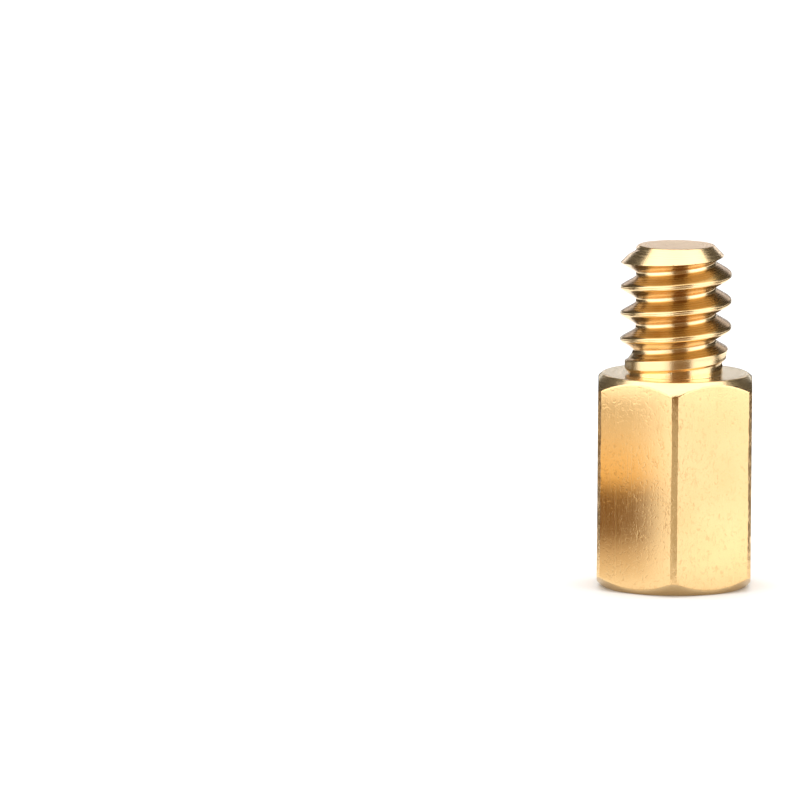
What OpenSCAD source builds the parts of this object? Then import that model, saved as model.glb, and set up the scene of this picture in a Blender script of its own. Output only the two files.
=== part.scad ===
// Male-female hex standoff, turned from drawn brass hex bar.
// It stands on its tapped end, with the threaded stud up. Millimetres, +Z up.

/* [Hex body] */
// Width across the flats
hex_af = 4.65; // [4.4:0.05:8]
// Diameter over the blunt corners of the bar
corner_d = 5.26; // [4.8:0.02:9]
// Length of the hex body
body_len = 6.5; // [6:0.1:30]
// Angle of both end chamfers, from the end face
chamfer_angle = 42; // [20:1:60]
// Diameter of the flat end face round the tapped hole
end_face_d = 4.34; // [4:0.02:4.6]
// Diameter of the flat shoulder round the stud
shoulder_d = 4.42; // [4:0.02:4.6]
// Diameter of the shallow turned dish round the neck
dish_d = 3.56; // [3.4:0.02:3.9]
// Depth of that dish
dish_depth = 0.02; // [0.01:0.01:0.1]

/* [Thread] */
// Threads per inch of both threads
threads_per_inch = 32; // [28:1:40]
// Angle between the two flanks
flank_angle = 60; // [55:1:65]

/* [Stud] */
// Length of the stud above the shoulder
stud_len = 3.9; // [3:0.1:20]
// Diameter over the thread's crests
crest_d = 3.37; // [3.2:0.01:3.5]
// Width of the flat on each crest
crest_flat = 0.125; // [0.08:0.005:0.16]
// Width of the flat in each root
root_flat = 0.125; // [0.08:0.005:0.16]
// Diameter of the plain neck, the blank that the thread was rolled on
neck_d = 2.85; // [2.7:0.01:3]
// Length of the plain neck, up to where the crests leave it
neck_len = 0.25; // [0.15:0.05:0.8]
// Length over which the rolled thread rises out of the neck
rise_len = 0.85; // [0.5:0.05:1.5]
// Length by which the roots leave the neck after the crests
root_lag = 0.1; // [0.05:0.01:0.2]
// Diameter of the flat tip
tip_d = 2.27; // [1.8:0.01:2.4]
// Angle of the tip's chamfer, from the tip face
tip_angle = 45; // [30:1:60]
// Depth below the tip at which a crest passes the +X side
crest_start = 0.1; // [0:0.01:0.7]

/* [Tapped hole] */
// Diameter of the drilled hole, across the thread's lands
drill_d = 2.9; // [2.8:0.02:3]
// Depth of the drilled hole to the start of its point
drill_depth = 4.8; // [3.5:0.1:5.2]
// Angle of the drill's point
drill_point = 118; // [90:1:140]
// Diameter of the tapped thread's grooves
tap_d = 3.5; // [3.4:0.01:3.6]
// Width of the flat in each groove
groove_flat = 0.1; // [0.05:0.01:0.15]
// Depth of the tapped thread, to the end of the taper that the tap leaves
tap_depth = 4.2; // [3:0.1:4.6]
// Length of that taper
tap_lead = 1.2; // [0.8:0.1:2]
// Diameter of the countersunk mouth
mouth_d = 3.75; // [3.6:0.01:4]
// Angle of the countersink
mouth_angle = 90; // [60:1:120]

/* [Hidden] */
brass = [0.86, 0.67, 0.34];
$fn = 96;
// Facets in each turn of a thread
turn_facets = 48;
// Depth to which a cone that trims a thread runs on inside its wall
sunk = 0.1;

pitch = 25.4 / threads_per_inch;
flank = tan(flank_angle / 2);
neck_z = body_len + neck_len;
tip_z = body_len + stud_len;
root_d = crest_d - (pitch - crest_flat - root_flat) / flank;

// Height of a cone between two radii, at an angle from the end face
function cone_h(r_in, r_out, angle) = (r_out - r_in) * tan(angle);

// Right-hand helical vee that runs out to a sharp edge past crest_r. Its foot lies inside wall_r, halfway to
// where neighbouring turns would meet. A crest flat_w wide at crest_r passes the +X side at height crest_z.
module helical_vee(wall_r, crest_r, flat_w, z_from, z_to, crest_z) {
    function half_width(r) = flat_w / 2 + (crest_r - r) * flank;
    foot_r = wall_r - (pitch / 2 - half_width(wall_r)) / 2 / flank;
    foot_half = half_width(foot_r);
    sharp_r = crest_r + flat_w / 2 / flank;
    section = [[foot_r, -foot_half], [sharp_r, 0], [foot_r, foot_half]];
    first = floor((z_from - crest_z) / pitch * turn_facets);
    last = ceil((z_to - crest_z) / pitch * turn_facets);
    points = [
        for (i = [first : last], p = section)
            let (turn = i / turn_facets)
            [p.x * cos(360 * turn), p.x * sin(360 * turn), crest_z + pitch * turn + p.y]
    ];
    end = 3 * (last - first);
    sides = [
        for (i = [0 : 3 : end - 3], k = [0 : 2])
            let (a = i + k, b = i + (k + 1) % 3)
            each [[a, b, a + 3], [b, b + 3, a + 3]]
    ];
    polyhedron(points, concat([[2, 1, 0]], sides, [[end, end + 1, end + 2]]));
}

// Hex bar with its turned ends: both chamfers, the end face, the shoulder and its dish
module hex_body() {
    corner_r = corner_d / 2;
    intersection() {
        rotate([0, 0, 30])
            cylinder(d = hex_af / cos(30), h = body_len, $fn = 6);
        rotate_extrude()
            polygon([
                [0, 0],
                [end_face_d / 2, 0],
                [corner_r, cone_h(end_face_d / 2, corner_r, chamfer_angle)],
                [corner_r, body_len - cone_h(shoulder_d / 2, corner_r, chamfer_angle)],
                [shoulder_d / 2, body_len],
                [dish_d / 2, body_len],
                [neck_d / 2, body_len - dish_depth],
                [0, body_len - dish_depth],
            ]);
    }
}

// Neck and thread core: the neck's cone runs down to the thread's roots
module stud_core() {
    rotate_extrude()
        polygon([
            [0, body_len - 2 * dish_depth],
            [neck_d / 2, body_len - 2 * dish_depth],
            [neck_d / 2, neck_z + root_lag],
            [root_d / 2, neck_z + rise_len],
            [root_d / 2, tip_z + pitch],
            [0, tip_z + pitch],
        ]);
}

// Rolled thread under its crests: a cone out of the neck, then the crest cylinder
module rolled_thread() {
    rise_slope = rise_len / (crest_d - neck_d) * 2;
    intersection() {
        rotate_extrude()
            polygon([
                [0, neck_z - sunk * rise_slope],
                [neck_d / 2 - sunk, neck_z - sunk * rise_slope],
                [crest_d / 2, neck_z + rise_len],
                [crest_d / 2, tip_z + pitch],
                [0, tip_z + pitch],
            ]);
        helical_vee(root_d / 2, crest_d / 2, crest_flat, neck_z, tip_z + pitch / 2, tip_z - crest_start);
    }
}

// Stud with its faced and chamfered tip
module stud() {
    outer_r = crest_d;
    intersection() {
        union() {
            stud_core();
            rolled_thread();
        }
        rotate_extrude()
            polygon([
                [0, 0],
                [outer_r, 0],
                [outer_r, tip_z - cone_h(tip_d / 2, outer_r, tip_angle)],
                [tip_d / 2, tip_z],
                [0, tip_z],
            ]);
    }
}

// Drilled hole with its point and its countersunk mouth
module drilled_hole() {
    mouth_h = (mouth_d - drill_d) / 2 / tan(mouth_angle / 2);
    point_h = drill_d / 2 / tan(drill_point / 2);
    over = 0.5;
    rotate_extrude()
        polygon([
            [0, -over],
            [mouth_d / 2 + over * tan(mouth_angle / 2), -over],
            [drill_d / 2, mouth_h],
            [drill_d / 2, drill_depth],
            [0, drill_depth + point_h],
        ]);
}

// Grooves cut by a tap with a tapered lead
module tapped_thread() {
    lead_slope = tap_lead / (tap_d - drill_d) * 2;
    intersection() {
        rotate_extrude()
            polygon([
                [0, -pitch],
                [tap_d / 2, -pitch],
                [tap_d / 2, tap_depth - tap_lead],
                [drill_d / 2 - sunk, tap_depth + sunk * lead_slope],
                [0, tap_depth + sunk * lead_slope],
            ]);
        helical_vee(drill_d / 2, tap_d / 2, groove_flat, -pitch / 2, tap_depth, 0);
    }
}

module standoff() {
    color(brass)
        difference() {
            union() {
                hex_body();
                stud();
            }
            drilled_hole();
            tapped_thread();
        }
}

standoff();
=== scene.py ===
"""Dressed model of a turned brass hex standoff, in a plain studio.

The standoff is one closed mesh: a drawn hex bar with turned ends, a rolled stud and a tapped hole. Sizes are
in millimetres while the mesh is shaped and in metres once it is finished.
"""

from __future__ import annotations

import logging
import math
from dataclasses import dataclass, field
from enum import Enum, IntEnum

import bmesh
import bpy
from bmesh.types import BMesh, BMVert
from mathutils import Matrix, Vector, noise


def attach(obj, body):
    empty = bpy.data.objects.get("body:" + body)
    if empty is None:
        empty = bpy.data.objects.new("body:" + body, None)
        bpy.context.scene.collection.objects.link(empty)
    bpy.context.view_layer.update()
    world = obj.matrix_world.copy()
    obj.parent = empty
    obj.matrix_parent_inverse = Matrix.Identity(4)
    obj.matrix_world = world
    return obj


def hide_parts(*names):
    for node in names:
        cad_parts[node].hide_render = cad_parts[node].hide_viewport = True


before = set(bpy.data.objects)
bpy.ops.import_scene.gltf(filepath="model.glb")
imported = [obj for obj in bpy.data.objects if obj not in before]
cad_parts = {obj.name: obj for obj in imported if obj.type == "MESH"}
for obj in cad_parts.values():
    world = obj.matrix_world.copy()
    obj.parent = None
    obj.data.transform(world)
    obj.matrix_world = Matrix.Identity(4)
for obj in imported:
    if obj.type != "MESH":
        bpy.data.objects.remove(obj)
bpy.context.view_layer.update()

log = logging.getLogger("standoff")

# Radius and height of each point of a section
Profile = list[tuple[float, float]]
# Height, colour as sRGB hex and cover of the paint, for each row of a card
Rows = tuple[tuple[float, str, float], ...]

# Millimetres in a metre
PER_METRE = 1000
# Columns of faces in each full turn
COLUMNS = 144
# Distance within which the ends of two turns are one, in millimetres
WELD = 0.002
# Distance within which vertices of neighbouring surfaces are one
JOIN = 0.0005
# Length under which an edge is a sliver
SLIVER = 0.00025
# Pitch of both threads, 32 to the inch
PITCH = 25.4 / 32
# Half of the angle between a thread's flanks
HALF_ANGLE = math.radians(30)
# Smoothing passes that round a thread's crests, and how many of them round its roots too
CREST_PASSES = 5
ROOT_PASSES = 2
# Shares of the radius at which the rings of faces lie on the tip and in the drill's point
TIP_RINGS = (1, 0.97, 0.8, 0.5, 0.2, 0)
POINT_RINGS = (1, 0.65, 0.3, 0.05, 0)
# How far apart the noise is read for the six corners and for the two sides of each
CHATTER_SPREAD = 9
WANDER_SPREAD = 1.7
SIDE_OFFSET = 3
RAGGED_SPREAD = 3
# How fast that noise changes with height, for each millimetre
CHATTER_RATE = 5
WANDER_RATE = 0.6
RAGGED_RATE = 8
# Attribute that says where painted shade darkens the thread's upper flanks
FLANK_SHADE = "flank_shade"
# Attribute with the paint of a reflection card
PAINT = "paint"
# Sockets of a mix node that belong to colours
MIX_SHARE = 0
MIX_FIRST = 6
MIX_SECOND = 7
MIX_RESULT = 2
# Noise values between which marks turn rougher, tarnish comes in, pits deepen and dirt gathers
MARK_BAND = (0.3, 0.7)
TARNISH_BAND = (0.4, 0.75)
PIT_BAND = (0.53, 0.72)
DIRT_BAND = (0.55, 0.72)
# Width of a cloud of tarnish, in millimetres
CLOUD_MM = 1.6
# How much longer than wide a drawn line is
STREAK = 25
# How much slower flecks change along the axis than across it
FLECK_RATE = 0.7
# Width of a card's facets in degrees, and the least number of them
FACET = 5
LEAST_FACETS = 8
# Angle in degrees past a card's end that still counts as its end
END_SLACK = 1
# Height of a shade above the floor, and the number of its sides
SHADE_Z = 0.01
SHADE_SIDES = 64


class Finish(IntEnum):
    """Slots of the standoff's finishes, by how each surface was made."""

    DRAWN = 0
    TURNED = 1
    ROLLED = 2
    PARTED = 3
    TAPPED = 4


class Lay(Enum):
    """Way in which the marks of a finish run."""

    ALONG_BAR = "along the bar"
    ROUND_AXIS = "round the axis"


def linear(code: str) -> tuple[float, float, float, float]:
    """Turn an sRGB hex value to linear colour.

    Args:
        code: Six hex digits after a hash sign.

    Returns:
        Linear red, green, blue and an alpha of one.
    """
    parts = [int(code[i : i + 2], 16) / 255 for i in (1, 3, 5)]
    red, green, blue = (c / 12.92 if c <= 0.04045 else ((c + 0.055) / 1.055) ** 2.4 for c in parts)
    return red, green, blue, 1.0


def add_node(
    tree: bpy.types.NodeTree,
    kind: str,
    inputs: dict[str | int, object] | None = None,
    **settings: object,
) -> bpy.types.Node:
    """Add a node with its settings and its input values or links.

    Args:
        tree: Node tree to add to.
        kind: Blender's name of the node's type.
        inputs: Values or output sockets, by the input's name or number.
        settings: Attributes of the node.

    Returns:
        The new node.
    """
    node = tree.nodes.new(kind)
    for name, value in settings.items():
        setattr(node, name, value)
    for key, value in (inputs or {}).items():
        if isinstance(value, bpy.types.NodeSocket):
            tree.links.new(value, node.inputs[key])
        else:
            node.inputs[key].default_value = value
    return node


def ease(low: float, high: float, value: float) -> float:
    """Rise smoothly from 0 to 1.

    Args:
        low: Value up to which the result is 0.
        high: Value from which it is 1.
        value: Value to look at.

    Returns:
        A share from 0 to 1.
    """
    t = min(1.0, max(0.0, (value - low) / (high - low)))
    return t * t * (3 - 2 * t)


def soft_min(value: float, limit: float, soft: float) -> float:
    """Hold a value under a limit, with a rounded bend.

    Args:
        value: Value to hold.
        limit: Its limit.
        soft: Distance from the limit at which the bend begins.

    Returns:
        The lesser of the two, or a little less in the bend.
    """
    near = max(0.0, soft - abs(value - limit)) / soft
    return min(value, limit) - near * near * soft / 4


def put(vert: BMVert, radius: float, angle: float, z: float) -> None:
    """Move a vertex.

    Args:
        vert: Vertex to move.
        radius: Its new distance from the axis.
        angle: Its new angle round the axis.
        z: Its new height.
    """
    vert.co = (radius * math.cos(angle), radius * math.sin(angle), z)


def polar(vert: BMVert) -> tuple[float, float, float]:
    """Find where a vertex lies round the axis.

    Args:
        vert: Vertex to look at.

    Returns:
        Its radius, its angle snapped to its column, and its height.
    """
    column = round(math.atan2(vert.co.y, vert.co.x) * COLUMNS / math.tau)
    return math.hypot(vert.co.x, vert.co.y), column * math.tau / COLUMNS, vert.co.z


def spun(profile: Profile, finish: Finish, pitch: float = 0.0) -> bpy.types.Mesh:
    """Spin a profile one turn round the axis.

    Args:
        profile: Section to spin.
        finish: Finish of the new faces.
        pitch: Rise of the turn; without one, the turn closes on itself.

    Returns:
        A mesh of the turn.
    """
    turn = bmesh.new()
    verts = [turn.verts.new((r, 0.0, z)) for r, z in profile]
    edges = [turn.edges.new(pair) for pair in zip(verts, verts[1:])]
    bmesh.ops.spin(
        turn,
        geom=verts + edges,
        cent=(0, 0, 0),
        axis=(0, 0, 1),
        dvec=(0, 0, pitch / COLUMNS),
        angle=math.tau,
        steps=COLUMNS,
        use_merge=pitch == 0,
    )
    for face in turn.faces:
        face.material_index = finish
    mesh = bpy.data.meshes.new("turn")
    turn.to_mesh(mesh)
    turn.free()
    return mesh


def added(bm: BMesh, mesh: bpy.types.Mesh) -> list[BMVert]:
    """Add a mesh to another.

    Args:
        bm: Mesh to add to.
        mesh: Mesh to add.

    Returns:
        The vertices that it brought.
    """
    known = set(bm.verts)
    bm.from_mesh(mesh)
    return [vert for vert in bm.verts if vert not in known]


def turned(bm: BMesh, profile: Profile, finish: Finish) -> list[BMVert]:
    """Add a profile turned round the axis, as a lathe turns it.

    Args:
        bm: Mesh to add to.
        profile: Section to turn.
        finish: Finish of the new faces.

    Returns:
        The new vertices.
    """
    mesh = spun(profile, finish)
    verts = added(bm, mesh)
    bpy.data.meshes.remove(mesh)
    return verts


def swept(bm: BMesh, profile: Profile, pitch: float, turns: int, finish: Finish) -> list[BMVert]:
    """Add a profile one pitch tall, swept up a right-hand helix with each turn welded to the next.

    Args:
        bm: Mesh to add to.
        profile: Section to sweep, over one pitch.
        pitch: Rise of one turn.
        turns: Number of turns.
        finish: Finish of the new faces.

    Returns:
        The swept vertices.
    """
    mesh = spun(profile, finish, pitch)
    verts = []
    for turn in range(turns):
        layer = added(bm, mesh)
        bmesh.ops.translate(bm, vec=(0, 0, pitch * turn), verts=layer)
        verts += layer
    bpy.data.meshes.remove(mesh)
    bmesh.ops.remove_doubles(bm, verts=verts, dist=WELD)
    return [vert for vert in verts if vert.is_valid]


@dataclass(frozen=True)
class ThreadForm:
    """Section of a sixty degree thread, over one pitch.

    Attributes:
        crest_r: Radius of the crests.
        crest_flat: Width of the flat on each crest.
        root_flat: Width of the flat in each root.
        seam: Depth of the seam that rolling leaves along the crest.
        samples: Points over one pitch.
        pitch: Distance between crests.
    """

    crest_r: float
    crest_flat: float
    root_flat: float
    seam: float = 0.0
    samples: int = 40
    pitch: float = PITCH

    def profile(self, crest_z: float) -> Profile:
        """Draw the section, from one crest's middle up to the next.

        Args:
            crest_z: Height of the first crest.

        Returns:
            Radius and height of each point, with rounded corners.
        """
        flank = (self.pitch - self.crest_flat - self.root_flat) / 2
        depth = flank / math.tan(HALF_ANGLE)
        radii = []
        for i in range(self.samples):
            off = self.pitch * min(i, self.samples - i) / self.samples
            down = min(1.0, max(0.0, (off - self.crest_flat / 2) / flank))
            radii.append(self.crest_r - depth * down)
        root_half = range(self.samples // 4, self.samples * 3 // 4)
        for turn in range(CREST_PASSES):
            after = radii[1:] + radii[:1]
            soft = [(radii[i - 1] + 2 * r + after[i]) / 4 for i, r in enumerate(radii)]
            kept = root_half if turn >= ROOT_PASSES else ()
            radii = [radii[i] if i in kept else r for i, r in enumerate(soft)]
        radii[0] -= self.seam
        radii.append(radii[0])
        return [(r, crest_z + self.pitch * i / self.samples) for i, r in enumerate(radii)]


@dataclass
class HexBody:
    """Drawn hex bar with its turned ends.

    Attributes:
        across_flats: Width across the flats.
        corner_d: Diameter over the blunt corners.
        length: Length of the body.
        chamfer: Angle of both end chamfers, in degrees from the end face.
        end_face_d: Diameter of the end face.
        shoulder_d: Diameter of the shoulder.
        dish_d: Diameter of the dish round the neck.
        dish_depth: Depth of that dish.
        rows: Rows of faces along the flats.
        chatter: Height of the chatter on the blunt corners.
        wander: Share of its width by which the side of a blunt corner wanders slowly.
        ragged: Share by which it is ragged.
    """

    across_flats: float = 4.65
    corner_d: float = 5.26
    length: float = 6.5
    chamfer: float = 42
    end_face_d: float = 4.34
    shoulder_d: float = 4.42
    dish_d: float = 3.56
    dish_depth: float = 0.02
    rows: int = 96
    chatter: float = 0.005
    wander: float = 0.16
    ragged: float = 0.2

    def section(self, angle: float, z: float) -> tuple[float, float]:
        """Find the bar's outline in one column.

        The noise is read far enough apart that no two corners and no two sides are alike.

        Args:
            angle: Angle of the column round the axis.
            z: Height, which sets how wide the blunt corner was drawn there.

        Returns:
            Radius of the outline and the angle at which it lies.
        """
        sixth = math.radians(60)
        corner = math.radians(90) + sixth * round((angle - math.radians(90)) / sixth)
        off = angle - corner
        blunt = math.radians(30) - math.acos(self.across_flats / self.corner_d)
        column = math.tau / COLUMNS
        if abs(off) < 0.5 * column:
            far = CHATTER_SPREAD
            place = Vector((far * math.cos(corner), far * math.sin(corner), z * CHATTER_RATE))
            middle_r = self.corner_d / 2 * math.cos(blunt)
            return middle_r + self.chatter * noise.noise(place), angle
        if abs(off) < 1.5 * column:
            side = math.copysign(1.0, off)
            far = WANDER_SPREAD
            x = far * math.cos(corner) + SIDE_OFFSET * side
            slow = Vector((x, far * math.sin(corner), z * WANDER_RATE))
            fast = Vector((slow.x * RAGGED_SPREAD, slow.y * RAGGED_SPREAD, z * RAGGED_RATE))
            blunt *= 1 + self.wander * noise.noise(slow) + self.ragged * noise.noise(fast)
            angle = corner + side * blunt
            off = side * blunt
        return self.across_flats / 2 / math.cos(math.radians(30) - abs(off)), angle

    def build(self, bm: BMesh, neck_r: float, foot_z: float, mouth_r: float) -> None:
        """Turn the ends and draw the flats in from the corners' cylinder.

        Args:
            bm: Mesh to add to.
            neck_r: Radius of the stud's neck.
            foot_z: Height at which the neck begins.
            mouth_r: Radius of the hole's countersunk mouth.
        """
        slope = math.tan(math.radians(self.chamfer))
        corner_r = self.corner_d / 2
        end_r = self.end_face_d / 2
        shoulder_r = self.shoulder_d / 2
        low = (corner_r - end_r) * slope
        high = self.length - (corner_r - shoulder_r) * slope
        step = (high - low) / self.rows
        turned(bm, [(mouth_r, 0), ((mouth_r + end_r) / 2, 0), (end_r, 0)], Finish.TURNED)
        outline = turned(bm, [(end_r, 0), (corner_r, low)], Finish.TURNED)
        outline += turned(bm, [(corner_r, low + step * i) for i in range(self.rows + 1)], Finish.DRAWN)
        outline += turned(bm, [(corner_r, high), (shoulder_r, self.length)], Finish.TURNED)
        dish = [
            (shoulder_r, self.length),
            ((shoulder_r + self.dish_d / 2) / 2, self.length),
            (self.dish_d / 2, self.length),
            (neck_r, self.length - self.dish_depth),
            (neck_r, foot_z),
        ]
        turned(bm, dish, Finish.TURNED)
        for vert in outline:
            radius, angle, z = polar(vert)
            if radius < corner_r - WELD:
                continue
            share = (z - low) / (high - low)
            radius, angle = self.section(angle, z)
            bottom = (radius - end_r) * slope
            top = self.length - (radius - shoulder_r) * slope
            put(vert, radius, angle, bottom + (top - bottom) * share)


@dataclass
class RolledStud:
    """Neck, rolled thread and chamfered tip.

    Attributes:
        base_z: Height of the shoulder that it stands on.
        foot_z: Height at which the neck leaves the dish.
        length: Length above the shoulder.
        neck_d: Diameter of the neck, the blank that the thread was rolled on.
        neck_len: Length of the neck that the dies left alone.
        tip_d: Diameter of the flat tip.
        tip_angle: Angle of the tip's chamfer, in degrees from the tip face.
        crest_start: Depth below the tip at which a crest passes the +X side.
        first_fill: Height above the neck to which the metal fills the first turn, whose crest stays flat.
        first_rise: Heights above the shoulder between which that fill comes in.
        later_fill: Height by which the metal fills the next turns further.
        later_rise: Heights above the shoulder between which that fill comes in.
        root_rise: Heights above the shoulder between which the roots deepen.
        bend: Distance over which a filled crest is rounded.
        flank_shade_gap: Distances under the chamfer between which the painted shade on the upper flanks comes
            in.
        flank_shade_rise: Heights above the shoulder between which it comes in.
        flank_shade_tilt: Upward parts of the normal between which it comes in.
        chamfer_slack: Distance from the chamfer within which a face lies on it.
        spare_turns: Turns of the thread that are clipped away at its ends.
        form: Section of the thread.
    """

    base_z: float = 6.5
    foot_z: float = 6.49
    length: float = 3.9
    neck_d: float = 2.85
    neck_len: float = 0.2
    tip_d: float = 2.27
    tip_angle: float = 45
    crest_start: float = 0.1
    first_fill: float = 0.11
    first_rise: tuple[float, float] = (0.0, 0.15)
    later_fill: float = 0.19
    later_rise: tuple[float, float] = (0.5, 1.2)
    root_rise: tuple[float, float] = (0.15, 1.05)
    bend: float = 0.03
    flank_shade_gap: tuple[float, float] = (0.005, 0.03)
    flank_shade_rise: tuple[float, float] = (0.2, 0.45)
    flank_shade_tilt: tuple[float, float] = (0.5, 0.8)
    chamfer_slack: float = 0.006
    spare_turns: int = 3
    form: ThreadForm = ThreadForm(crest_r=1.685, crest_flat=0.125, root_flat=0.125, seam=0.012)

    @property
    def tip_z(self) -> float:
        """Height of the tip."""
        return self.base_z + self.length

    def chamfer_r(self, z: float) -> float:
        """Find the tip's chamfer at a height.

        Args:
            z: The height.

        Returns:
            Radius of the chamfer's cone there.
        """
        return self.tip_d / 2 + (self.tip_z - z) / math.tan(math.radians(self.tip_angle))

    def snap(self, profile: Profile, radius: float, angle: float, z: float) -> tuple[float, float]:
        """Slide a point along the thread's section onto the tip's chamfer, where that cuts it close by.

        Args:
            profile: Section of the thread.
            radius: Radius of the point.
            angle: Its angle round the axis.
            z: Its height.

        Returns:
            Its new radius and height.
        """
        rows = len(profile) - 1
        row = self.form.pitch / rows
        place = round((z - profile[0][1]) / row - angle / math.tau * rows) % rows
        slope = (profile[place + 1][0] - profile[(place - 1) % rows][0]) / 2 / row
        run = 1 / math.tan(math.radians(self.tip_angle))
        slide = (self.chamfer_r(z) - radius) / (run + slope)
        if abs(slide) > row / 2:
            return radius, z
        return radius + slope * slide, z + slide

    def settle(self, radius: float, z: float) -> float:
        """Fade the thread into the neck and trim it to the tip's chamfer.

        Args:
            radius: Radius of a point of the full thread.
            z: Its height.

        Returns:
            Its radius on the finished stud.
        """
        above = z - self.base_z
        neck_r = self.neck_d / 2
        if radius > neck_r:
            fill = self.first_fill * ease(*self.first_rise, above)
            fill += self.later_fill * ease(*self.later_rise, above)
            radius = max(neck_r, soft_min(radius, neck_r + fill, self.bend))
        else:
            radius = neck_r + (radius - neck_r) * ease(*self.root_rise, above)
        return min(radius, self.chamfer_r(z))

    def build(self, bm: BMesh) -> None:
        """Roll the thread, clip its spare turns at the neck's foot and the tip, and close the tip.

        Args:
            bm: Mesh to add to.
        """
        pitch = self.form.pitch
        turns = math.ceil(self.length / pitch) + self.spare_turns
        crest_z = self.tip_z - self.crest_start - pitch * (turns - 1)
        profile = self.form.profile(crest_z)
        for vert in swept(bm, profile, pitch, turns, Finish.ROLLED):
            radius, angle, z = polar(vert)
            radius, z = self.snap(profile, radius, angle, z)
            z = min(self.tip_z, max(self.foot_z, z))
            put(vert, self.settle(radius, z), angle, z)
        turned(bm, [(self.tip_d / 2 * share, self.tip_z) for share in TIP_RINGS], Finish.PARTED)

    def mark(self, bm: BMesh) -> None:
        """Paint shade on the thread's upper flanks, and give the neck and the tip's chamfer the turned
        finish.

        Args:
            bm: Mesh of the whole standoff, which gets an attribute of painted shade from 0 to 1.
        """
        flank_shade = bm.verts.layers.float.new(FLANK_SHADE)
        bm.normal_update()
        for face in bm.faces:
            if face.material_index != Finish.ROLLED:
                continue
            for vert in face.verts:
                radius, _, z = polar(vert)
                clear = ease(*self.flank_shade_gap, self.chamfer_r(z) - radius)
                clear *= ease(*self.flank_shade_rise, z - self.base_z)
                # Painted shade: darker on flanks that face upwards, fading out near the tip's chamfer and
                # near the shoulder
                vert[flank_shade] = clear * ease(*self.flank_shade_tilt, vert.normal.z)
            middle = face.calc_center_median()
            gap = self.chamfer_r(middle.z) - math.hypot(middle.x, middle.y)
            if abs(gap) < self.chamfer_slack or middle.z < self.base_z + self.neck_len:
                face.material_index = Finish.TURNED


@dataclass
class TappedHole:
    """Drilled and tapped hole with its countersunk mouth.

    Attributes:
        drill_d: Diameter of the drilled hole.
        drill_depth: Depth to the start of the drill's point.
        drill_point: Angle of the drill's point, in degrees.
        mouth_d: Diameter of the mouth, whose countersink has a right angle.
        tap_depth: Depth at which the thread has run out.
        tap_lead: Length over which it runs out.
        spare_turns: Turns of the thread that are clipped away at its ends.
        form: Section of the thread; its crests are the grooves.
    """

    drill_d: float = 2.9
    drill_depth: float = 4.8
    drill_point: float = 118
    mouth_d: float = 3.75
    tap_depth: float = 4.2
    tap_lead: float = 1.2
    spare_turns: int = 2
    form: ThreadForm = ThreadForm(crest_r=1.75, crest_flat=0.1, root_flat=0.347, samples=32)

    def settle(self, radius: float, z: float) -> float:
        """Run the thread out at its deep end and open it at the mouth.

        Args:
            radius: Radius of a point of the full thread.
            z: Its depth from the end face.

        Returns:
            Its radius in the finished hole.
        """
        wall = self.drill_d / 2
        share = min(1.0, max(0.0, (self.tap_depth - z) / self.tap_lead))
        radius = wall + max(0.0, min(radius - wall, (self.form.crest_r - wall) * share))
        return max(radius, self.mouth_d / 2 - z)

    def build(self, bm: BMesh) -> None:
        """Tap the hole, clip its spare turns at the mouth and the drill's point, and close the point.

        Args:
            bm: Mesh to add to.
        """
        pitch = self.form.pitch
        turns = math.ceil(self.drill_depth / pitch) + self.spare_turns
        for vert in swept(bm, self.form.profile(-pitch), pitch, turns, Finish.TAPPED):
            radius, angle, z = polar(vert)
            z = min(self.drill_depth, max(0.0, z))
            put(vert, self.settle(radius, z), angle, z)
        wall = self.drill_d / 2
        point = wall / math.tan(math.radians(self.drill_point / 2))
        cone = [(wall * share, self.drill_depth + point * (1 - share)) for share in POINT_RINGS]
        turned(bm, cone, Finish.TAPPED)


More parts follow.
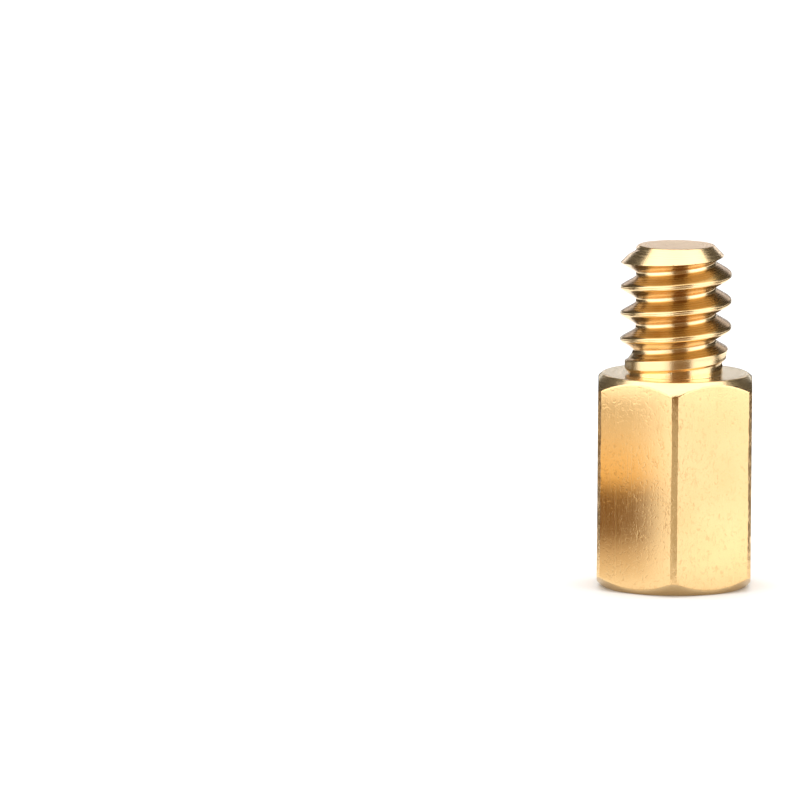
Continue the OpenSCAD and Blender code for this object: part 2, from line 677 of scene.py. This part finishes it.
@dataclass(frozen=True)
class BrassFinish:
    """Surface of bare brass.

    Attributes:
        name: What the surface is and how it was made.
        tone: Colour of clean metal, as sRGB hex.
        stain: Colour of handled and slightly tarnished metal, as sRGB hex.
        stain_share: Most of the stain that is mixed in.
        rough: Least and most roughness.
        lay: Way in which the marks run.
        mark_mm: Width of a mark.
        mark_depth_mm: Depth of the marks.
        fleck_mm: Size of the pits and flecks.
        fleck_depth_mm: Depth of those.
        soil: Colour of the dirt that lies in them, as sRGB hex.
        soil_share: Most of the dirt that is mixed in.
        flank_shade: Colour of the painted shade on a thread's upper flanks, as sRGB hex, or nothing.
    """

    name: str
    tone: str
    stain: str
    stain_share: float
    rough: tuple[float, float]
    lay: Lay
    mark_mm: float
    mark_depth_mm: float
    fleck_mm: float
    fleck_depth_mm: float
    soil: str = "#A87838"
    soil_share: float = 0.0
    flank_shade: str = ""

    def marks(self, tree: bpy.types.NodeTree, point: bpy.types.NodeSocket) -> bpy.types.NodeSocket:
        """Draw the marks of the tool along their lay.

        Args:
            tree: Node tree to add to.
            point: Object coordinates.

        Returns:
            Height of the marks, from 0 to 1.
        """
        fine = PER_METRE / self.mark_mm
        if self.lay is Lay.ALONG_BAR:
            size = (fine, fine, fine / STREAK)
            stretch = add_node(tree, "ShaderNodeMapping", {"Vector": point, "Scale": size})
            grain = {"Vector": stretch.outputs[0], "Scale": 1.0, "Detail": 3.0}
            return add_node(tree, "ShaderNodeTexNoise", grain).outputs[0]
        flat = add_node(tree, "ShaderNodeVectorMath", {0: point, 1: (1, 1, 0)}, operation="MULTIPLY")
        radius = add_node(tree, "ShaderNodeVectorMath", {0: flat.outputs[0]}, operation="LENGTH")
        rings = {"W": radius.outputs["Value"], "Scale": fine, "Detail": 2.0}
        return add_node(tree, "ShaderNodeTexNoise", rings, noise_dimensions="1D").outputs[0]

    def colour(
        self, tree: bpy.types.NodeTree, point: bpy.types.NodeSocket, flecks: bpy.types.NodeSocket
    ) -> bpy.types.NodeSocket:
        """Mix tarnish, dirt and painted shade into the clean metal's colour.

        Args:
            tree: Node tree to add to.
            point: Object coordinates.
            flecks: Noise of the flecks.

        Returns:
            The colour.
        """
        cloud = add_node(
            tree, "ShaderNodeTexNoise", {"Vector": point, "Scale": PER_METRE / CLOUD_MM, "Detail": 3.0}
        )
        haze = add_node(
            tree,
            "ShaderNodeMapRange",
            {
                "Value": cloud.outputs[0],
                "From Min": TARNISH_BAND[0],
                "From Max": TARNISH_BAND[1],
                "To Min": 0.0,
                "To Max": self.stain_share,
            },
        )
        tone = add_node(
            tree,
            "ShaderNodeMix",
            {MIX_SHARE: haze.outputs[0], MIX_FIRST: linear(self.tone), MIX_SECOND: linear(self.stain)},
            data_type="RGBA",
        )
        dirt = add_node(
            tree,
            "ShaderNodeMapRange",
            {
                "Value": flecks,
                "From Min": DIRT_BAND[0],
                "From Max": DIRT_BAND[1],
                "To Min": 0.0,
                "To Max": self.soil_share,
            },
        )
        soiled = add_node(
            tree,
            "ShaderNodeMix",
            {MIX_SHARE: dirt.outputs[0], MIX_FIRST: tone.outputs[MIX_RESULT], MIX_SECOND: linear(self.soil)},
            data_type="RGBA",
        )
        if not self.flank_shade:
            return soiled.outputs[MIX_RESULT]
        # Painted shade on the thread's upper flanks
        flank_shade_mask = add_node(tree, "ShaderNodeAttribute", attribute_name=FLANK_SHADE)
        flank_shaded = add_node(
            tree,
            "ShaderNodeMix",
            {
                MIX_SHARE: flank_shade_mask.outputs["Fac"],
                MIX_FIRST: soiled.outputs[MIX_RESULT],
                MIX_SECOND: linear(self.flank_shade),
            },
            data_type="RGBA",
        )
        return flank_shaded.outputs[MIX_RESULT]

    def material(self) -> bpy.types.Material:
        """Make the finish's material.

        Returns:
            A material of metal with marks, flecks and a little tarnish.
        """
        material = bpy.data.materials.new(self.name)
        material.use_nodes = True
        tree = material.node_tree
        tree.nodes.clear()
        point = add_node(tree, "ShaderNodeTexCoord").outputs["Object"]
        marks = self.marks(tree, point)
        drawn_out = add_node(tree, "ShaderNodeMapping", {"Vector": point, "Scale": (1, 1, FLECK_RATE)})
        flecks = add_node(
            tree,
            "ShaderNodeTexNoise",
            {
                "Vector": drawn_out.outputs[0],
                "Scale": PER_METRE / 2 / self.fleck_mm,
                "Detail": 3.0,
                "Roughness": 0.6,
                "Distortion": 1.2,
            },
        )
        pits = add_node(
            tree,
            "ShaderNodeMapRange",
            {
                "Value": flecks.outputs[0],
                "From Min": PIT_BAND[0],
                "From Max": PIT_BAND[1],
                "To Min": 0.0,
                "To Max": 1.0,
            },
        )
        rough = add_node(
            tree,
            "ShaderNodeMapRange",
            {
                "Value": marks,
                "From Min": MARK_BAND[0],
                "From Max": MARK_BAND[1],
                "To Min": self.rough[0],
                "To Max": self.rough[1],
            },
        )
        grooves = add_node(
            tree,
            "ShaderNodeBump",
            {"Height": marks, "Distance": self.mark_depth_mm / PER_METRE, "Strength": 1.0},
        )
        pitted = add_node(
            tree,
            "ShaderNodeBump",
            {
                "Height": pits.outputs[0],
                "Distance": self.fleck_depth_mm / PER_METRE,
                "Strength": 1.0,
                "Normal": grooves.outputs[0],
            },
            invert=True,
        )
        shader = add_node(
            tree,
            "ShaderNodeBsdfPrincipled",
            {
                "Base Color": self.colour(tree, point, flecks.outputs[0]),
                "Metallic": 1.0,
                "Roughness": rough.outputs[0],
                "Normal": pitted.outputs[0],
            },
        )
        add_node(tree, "ShaderNodeOutputMaterial", {"Surface": shader.outputs[0]})
        return material


# Drawn bar shows fine lines along its length, with short flecks where the die picked up metal.
DRAWN_BRASS = BrassFinish(
    name="drawn brass bar",
    tone="#F7D197",
    stain="#EAC084",
    stain_share=0.5,
    rough=(0.22, 0.28),
    lay=Lay.ALONG_BAR,
    mark_mm=0.06,
    mark_depth_mm=0.0006,
    fleck_mm=0.06,
    fleck_depth_mm=0.003,
    soil_share=0.28,
)
# Turned faces show fine rings and a brighter gloss.
TURNED_BRASS = BrassFinish(
    name="turned brass",
    tone="#F9DAA6",
    stain="#EECB92",
    stain_share=0.4,
    rough=(0.17, 0.28),
    lay=Lay.ROUND_AXIS,
    mark_mm=0.05,
    mark_depth_mm=0.0016,
    fleck_mm=0.08,
    fleck_depth_mm=0.0012,
)
# A rolled thread is burnished by the dies; painted shade makes its upper flanks a deeper gold.
ROLLED_BRASS = BrassFinish(
    name="rolled brass thread",
    tone="#F9DAA8",
    stain="#ECC48A",
    stain_share=0.5,
    rough=(0.2, 0.28),
    lay=Lay.ROUND_AXIS,
    mark_mm=0.04,
    mark_depth_mm=0.00025,
    fleck_mm=0.08,
    fleck_depth_mm=0.0008,
    flank_shade="#B48E52",
)
# The parted tip is faced dull, with a fine grain.
PARTED_BRASS = BrassFinish(
    name="parted brass tip",
    tone="#F5D29C",
    stain="#E8C490",
    stain_share=0.5,
    rough=(0.26, 0.36),
    lay=Lay.ROUND_AXIS,
    mark_mm=0.06,
    mark_depth_mm=0.0005,
    fleck_mm=0.07,
    fleck_depth_mm=0.001,
)
# A tapped thread is torn a little by the tap.
TAPPED_BRASS = BrassFinish(
    name="tapped brass thread",
    tone="#F3CC8E",
    stain="#DFB070",
    stain_share=0.6,
    rough=(0.16, 0.26),
    lay=Lay.ROUND_AXIS,
    mark_mm=0.05,
    mark_depth_mm=0.0015,
    fleck_mm=0.08,
    fleck_depth_mm=0.0012,
)


@dataclass
class Standoff:
    """The whole standoff, one closed piece.

    Attributes:
        body: Hex bar with its turned ends.
        stud: Threaded stud.
        hole: Tapped hole.
        edge: Width of the rounding on turned edges.
        crease: Angle in degrees past which an edge is shaded sharp.
    """

    body: HexBody = field(default_factory=HexBody)
    stud: RolledStud = field(default_factory=RolledStud)
    hole: TappedHole = field(default_factory=TappedHole)
    edge: float = 0.028
    crease: float = 25

    def round_edges(self, bm: BMesh) -> None:
        """Round the edges between flats, chamfers, faces and the tip.

        Args:
            bm: Mesh of the whole standoff.
        """
        edges = []
        for edge in bm.edges:
            if len(edge.link_faces) != 2 or edge.calc_face_angle(0) < math.radians(self.crease):
                continue
            kinds = {face.material_index for face in edge.link_faces}
            if kinds & {Finish.ROLLED, Finish.TAPPED} or kinds == {Finish.DRAWN}:
                continue
            edges.append(edge)
        bmesh.ops.bevel(
            bm,
            geom=edges,
            offset=self.edge,
            offset_type="OFFSET",
            affect="EDGES",
            segments=3,
            profile=0.5,
            material=-1,
        )

    def build(self) -> bpy.types.Object:
        """Build the piece and dress it.

        Returns:
            The finished piece, which rides on the root body in place of its solid.
        """
        bm = bmesh.new()
        self.body.build(bm, self.stud.neck_d / 2, self.stud.foot_z, self.hole.mouth_d / 2)
        self.stud.build(bm)
        self.hole.build(bm)
        bmesh.ops.remove_doubles(bm, verts=bm.verts, dist=JOIN)
        bmesh.ops.dissolve_degenerate(bm, edges=bm.edges, dist=SLIVER)
        bmesh.ops.recalc_face_normals(bm, faces=bm.faces)
        self.stud.mark(bm)
        self.round_edges(bm)
        open_edges = sum(len(edge.link_faces) != 2 for edge in bm.edges)
        bmesh.ops.scale(bm, vec=(1 / PER_METRE,) * 3, verts=bm.verts)
        for face in bm.faces:
            face.smooth = True
        for edge in bm.edges:
            edge.smooth = edge.calc_face_angle(0) < math.radians(self.crease)
        mesh = bpy.data.meshes.new("standoff_dressed")
        bm.to_mesh(mesh)
        bm.free()
        for finish in (DRAWN_BRASS, TURNED_BRASS, ROLLED_BRASS, PARTED_BRASS, TAPPED_BRASS):
            mesh.materials.append(finish.material())
        piece = bpy.data.objects.new("standoff_dressed", mesh)
        bpy.context.scene.collection.objects.link(piece)
        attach(piece, "root")
        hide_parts("standoff")
        log.info("%s: %d faces, %d open edges", piece.name, len(mesh.polygons), open_edges)
        return piece


@dataclass(frozen=True)
class Card:
    """Painted, curved card that stands round the standoff, which only reflections see.

    Attributes:
        name: What it is.
        azimuths: Directions of its two ends, in degrees to the right of the camera.
        distance: Distance from the axis in millimetres.
        rows: Its paint, from the lowest row up.
        fade: Width in degrees over which each end fades out.
        glow: How brightly it is lit.
    """

    name: str
    azimuths: tuple[float, float]
    distance: float
    rows: Rows
    fade: float = 0.0
    glow: float = 1.0


def even(low: float, high: float, code: str) -> Rows:
    """Paint a card in one colour.

    Args:
        low: Height of its lower edge in millimetres.
        high: Height of its upper edge.
        code: Its colour, as sRGB hex.

    Returns:
        The rows of the card.
    """
    return (low, code, 1.0), (high, code, 1.0)


# Grey below and brown above, which gives the front corner and the thread their darker stripe
FRONT = even(0, 5.1, "#C6BFAE") + even(5.3, 20, "#82633E")
# Bright band at the height of the neck and the thread
STRIP = even(5.0, 6.6, "#CFCFCF") + even(7.2, 9.4, "#FFFFFF")
# Brown patch with a golden glow above it, a painted reflection that the left flat shows
WARM = (
    (0.0, "#DCC496", 0.6),
    (0.7, "#C0A06C", 0.7),
    (1.4, "#7C5A2C", 1),
    (2.7, "#7C5A2C", 1),
    (3.1, "#FFD48A", 1),
    (3.8, "#FFD88E", 0.85),
    (4.5, "#D8B878", 0.66),
    (5.6, "#94804F", 0.7),
)
# White that fades out upwards, which lifts the foot of the right flat
LOW = ((0.0, "#FFFFFF", 0.75), (0.6, "#FFFFFF", 0.6), (2.4, "#FFFFFF", 0))

CARDS = (
    Card("front flag", (-10, 32), 6.5, FRONT),
    Card("left side flag", (-113, -97), 8.6, even(0, 6, "#4A3A28")),
    Card("right side flag", (97, 113), 8.6, even(0, 6, "#4A3A28")),
    Card("near back flag", (95, 265), 42, even(0, 11, "#3A3228")),
    Card("far back flag", (95, 265), 240, even(0, 290, "#55524D")),
    Card("shoulder card", (150, 210), 16, even(7.7, 9.8, "#EEF6FF"), glow=1.25),
    Card("tip card", (150, 210), 16, even(11.5, 15, "#F6F6FF"), glow=1.4),
    Card("left light", (-95, -32), 200, even(50, 230, "#FFFFFF"), fade=10, glow=1.9),
    Card("right light", (40, 95), 200, even(50, 230, "#FFFFFF"), fade=10, glow=1.9),
    Card("left strip light", (-88, -18), 12, STRIP, fade=8, glow=2.6),
    Card("right strip light", (34, 92), 12, STRIP, fade=8, glow=2.6),
    Card("warm card", (-90, -34), 5.0, WARM, fade=12),
    Card("right low card", (36, 92), 6.5, LOW, fade=10, glow=1.65),
)


@dataclass
class Studio:
    """Pale floor, soft light, reflection cards and the camera.

    Attributes:
        floor_mm: Width of the floor.
        room_light: Strength of the white room's light.
        lit_z: Height on the axis that the soft light faces.
        elevation: Camera's height angle, in degrees.
        distance_mm: Camera's distance.
        frame_mm: Width of the view at the standoff.
        sensor_mm: Width of the camera's sensor.
        aim_mm: Where the point on the axis at aim_z lies in the view, right of and above its middle.
        aim_z: Height of that point.
        roll: Lean of the standoff in the view, in degrees to the right.
    """

    floor_mm: float = 3000
    room_light: float = 1.25
    lit_z: float = 5
    elevation: float = 8.1
    distance_mm: float = 450
    frame_mm: float = 24.21
    sensor_mm: float = 36
    aim_mm: tuple[float, float] = (8.32, -0.457)
    aim_z: float = 5.2
    roll: float = 0.5

    def plain(self, name: str, code: str, rough: float) -> bpy.types.Material:
        """Make a plain matt paint for the studio.

        Args:
            name: Name of the material.
            code: Its colour, as sRGB hex.
            rough: Its roughness.

        Returns:
            The material.
        """
        material = bpy.data.materials.new(name)
        material.use_nodes = True
        shader = material.node_tree.nodes["Principled BSDF"]
        shader.inputs["Base Color"].default_value = linear(code)
        shader.inputs["Roughness"].default_value = rough
        shader.inputs["Specular IOR Level"].default_value = 0.0
        return material

    def staged(self, name: str, bm: BMesh, material: bpy.types.Material) -> bpy.types.Object:
        """Put a sheet in the studio.

        Args:
            name: Name of the sheet.
            bm: Its mesh in millimetres, which is used up.
            material: What it is painted with.

        Returns:
            The sheet, which is part of the stage.
        """
        bmesh.ops.scale(bm, vec=(1 / PER_METRE,) * 3, verts=bm.verts)
        mesh = bpy.data.meshes.new(name)
        bm.to_mesh(mesh)
        bm.free()
        mesh.materials.append(material)
        sheet = bpy.data.objects.new(name, mesh)
        bpy.context.scene.collection.objects.link(sheet)
        return sheet

    def reflected(self, name: str, bm: BMesh, glow: float) -> None:
        """Put a painted sheet in the studio, which only reflections see.

        Args:
            name: Name of the sheet.
            bm: Its mesh in millimetres, with its paint and cover as an attribute.
            glow: How brightly it is lit.
        """
        material = bpy.data.materials.new(name)
        material.use_nodes = True
        tree = material.node_tree
        tree.nodes.clear()
        painted = add_node(tree, "ShaderNodeAttribute", attribute_name=PAINT)
        light = add_node(tree, "ShaderNodeEmission", {"Color": painted.outputs["Color"], "Strength": glow})
        clear = add_node(tree, "ShaderNodeBsdfTransparent")
        cover = add_node(
            tree,
            "ShaderNodeMixShader",
            {0: painted.outputs["Alpha"], 1: clear.outputs[0], 2: light.outputs[0]},
        )
        add_node(tree, "ShaderNodeOutputMaterial", {"Surface": cover.outputs[0]})
        sheet = self.staged(name, bm, material)
        sheet.visible_camera = False
        sheet.visible_diffuse = False
        sheet.visible_shadow = False

    def stand(self, card: Card) -> None:
        """Stand a card round the standoff.

        Args:
            card: The card.
        """
        bm = bmesh.new()
        paint = bm.verts.layers.float_color.new(PAINT)
        first = math.radians(card.azimuths[0] - 90)
        edge = []
        for z, code, cover in card.rows:
            vert = bm.verts.new((card.distance * math.cos(first), card.distance * math.sin(first), z))
            vert[paint] = (*linear(code)[:3], cover)
            edge.append(vert)
        span = card.azimuths[1] - card.azimuths[0]
        bmesh.ops.spin(
            bm,
            geom=edge + [bm.edges.new(pair) for pair in zip(edge, edge[1:])],
            cent=(0, 0, 0),
            axis=(0, 0, 1),
            angle=math.radians(span),
            steps=max(LEAST_FACETS, round(span / FACET)),
        )
        if card.fade:
            for vert in bm.verts:
                along = math.degrees(math.atan2(vert.co.y, vert.co.x) - first) % 360
                inside = min(along, span - along) if along <= span + END_SLACK else 0.0
                vert[paint][3] *= ease(0.0, card.fade, inside)
        self.reflected(card.name, bm, card.glow)

    def shade(self, name: str, radius: float, code: str, cover: float) -> None:
        """Lay a painted disc just above the floor under the standoff, which only reflections see.

        Args:
            name: Name of the disc.
            radius: Its radius in millimetres.
            code: Its colour, as sRGB hex.
            cover: How much of the floor it hides.
        """
        bm = bmesh.new()
        paint = bm.verts.layers.float_color.new(PAINT)
        raised = Matrix.Translation((0, 0, SHADE_Z))
        bmesh.ops.create_circle(bm, cap_ends=True, segments=SHADE_SIDES, radius=radius, matrix=raised)
        for vert in bm.verts:
            vert[paint] = (*linear(code)[:3], cover)
        self.reflected(name, bm, 1.0)

    def room(self) -> None:
        """Set the soft white room round the studio."""
        world = bpy.data.worlds.new("soft white room")
        world.use_nodes = True
        world.node_tree.nodes["Background"].inputs["Color"].default_value = (1, 1, 1, 1)
        world.node_tree.nodes["Background"].inputs["Strength"].default_value = self.room_light
        bpy.context.scene.world = world

    def softbox(self, name: str, size_mm: float, power: float, place: tuple[float, float, float]) -> None:
        """Hang a square soft light that faces the standoff.

        Args:
            name: Name of the light.
            size_mm: Its width.
            power: Its power in watts.
            place: Where it hangs, in millimetres.
        """
        light = bpy.data.lights.new(name, "AREA")
        light.size = size_mm / PER_METRE
        light.energy = power
        lamp = bpy.data.objects.new(name, light)
        lamp.location = Vector(place) / PER_METRE
        lamp.rotation_euler = (Vector((0, 0, self.lit_z)) - Vector(place)).to_track_quat("-Z", "Y").to_euler()
        bpy.context.scene.collection.objects.link(lamp)

    def camera(self) -> None:
        """Set the camera straight in front of a corner, with the standoff where the view has it."""
        tilt = math.radians(self.elevation)
        roll = math.radians(self.roll)
        look = Vector((0, math.cos(tilt), -math.sin(tilt)))
        level = Vector((1, 0, 0))
        up = level.cross(look)
        right = level * math.cos(roll) + up * math.sin(roll)
        top = up * math.cos(roll) - level * math.sin(roll)
        axis_point = Vector((0, 0, self.aim_z))
        eye = axis_point - look * self.distance_mm
        middle = axis_point - right * self.aim_mm[0] - top * self.aim_mm[1]
        back = (eye - middle).normalized()
        side = top.cross(back).normalized()
        turn = Matrix((side, back.cross(side), back)).transposed()
        data = bpy.data.cameras.new("camera")
        data.sensor_width = self.sensor_mm
        data.lens = self.sensor_mm * (eye - middle).length / self.frame_mm
        camera = bpy.data.objects.new("camera", data)
        camera.location = eye / PER_METRE
        camera.rotation_euler = turn.to_euler()
        bpy.context.scene.collection.objects.link(camera)
        bpy.context.scene.camera = camera

    def build(self) -> None:
        """Set the camera, lay the floor, hang the light and stand the cards."""
        self.camera()
        bm = bmesh.new()
        bmesh.ops.create_grid(bm, x_segments=1, y_segments=1, size=self.floor_mm / 2)
        self.staged("floor", bm, self.plain("pale floor", "#E9E9E9", rough=0.9))
        self.room()
        self.softbox("overhead softbox", size_mm=600, power=0.75, place=(0, 0, 300))
        for card in CARDS:
            self.stand(card)
        self.shade("foot shade", radius=2.9, code="#6A6050", cover=0.3)
        bpy.context.scene.view_settings.view_transform = "Standard"
        log.info("studio set")


def main() -> None:
    """Build the standoff and its studio."""
    logging.basicConfig(level=logging.INFO, format="%(message)s")
    Standoff().build()
    Studio().build()


if __name__ == "__main__":
    main()
